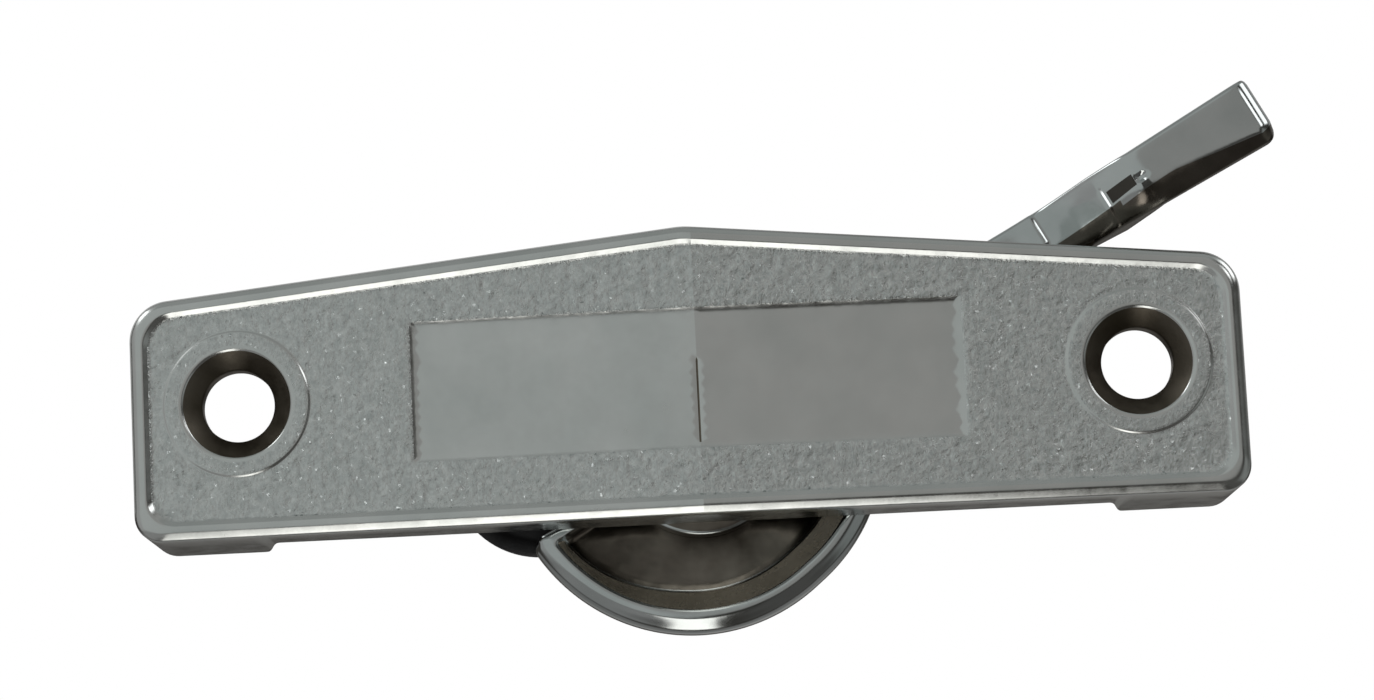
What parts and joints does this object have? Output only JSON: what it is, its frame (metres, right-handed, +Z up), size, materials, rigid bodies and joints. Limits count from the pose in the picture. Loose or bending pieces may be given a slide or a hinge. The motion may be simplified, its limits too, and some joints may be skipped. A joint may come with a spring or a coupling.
{
  "type": "crescent sash lock",
  "caption": "Cam action sash lock: a long peaked face plate on feet, with a cranked lever above and a dished crescent cam below that turn together on a pivot.",
  "frame": {"origin": "where the pivot axis meets the face of the sash that the feet stand on", "axes": "+X along the plate, +Y into the sash, +Z up; the plate looks towards -Y"},
  "size_m": [0.0738, 0.0113, 0.0334],
  "materials": {
    "cast_plate": "satin nickel-chrome plate over a fine cast texture",
    "cast_cam": "bright nickel-chrome plate, slightly soft",
    "cast_lever": "bright nickel-chrome plate, slightly soft",
    "strap_steel": "zinc-plated sheet steel",
    "rivet_steel": "zinc-plated steel",
    "spring_steel": "blued spring steel",
    "white_nylon": "natural nylon",
    "black_nylon": "matte black nylon"
  },
  "bodies": {
    "housing_body": {"housing": "cast_plate", "back_plate": "strap_steel", "back_plate_rivets": "rivet_steel", "pivot_stud": "rivet_steel", "spring_washer": "spring_steel", "thrust_washer": "white_nylon", "hub_washer": "rivet_steel", "support_pad": "black_nylon", "pad_rivet": "rivet_steel"},
    "rotor": {"crescent_cam": "cast_cam", "lever": "cast_lever", "pivot_bush": "white_nylon"}
  },
  "joints": [
    {"name": "lever_turn", "type": "hinge", "parent": "housing_body", "child": "rotor", "pos_m": [0, 0, 0], "axis": [0, -1, 0], "range_deg": [0, 123.4]}
  ]
}
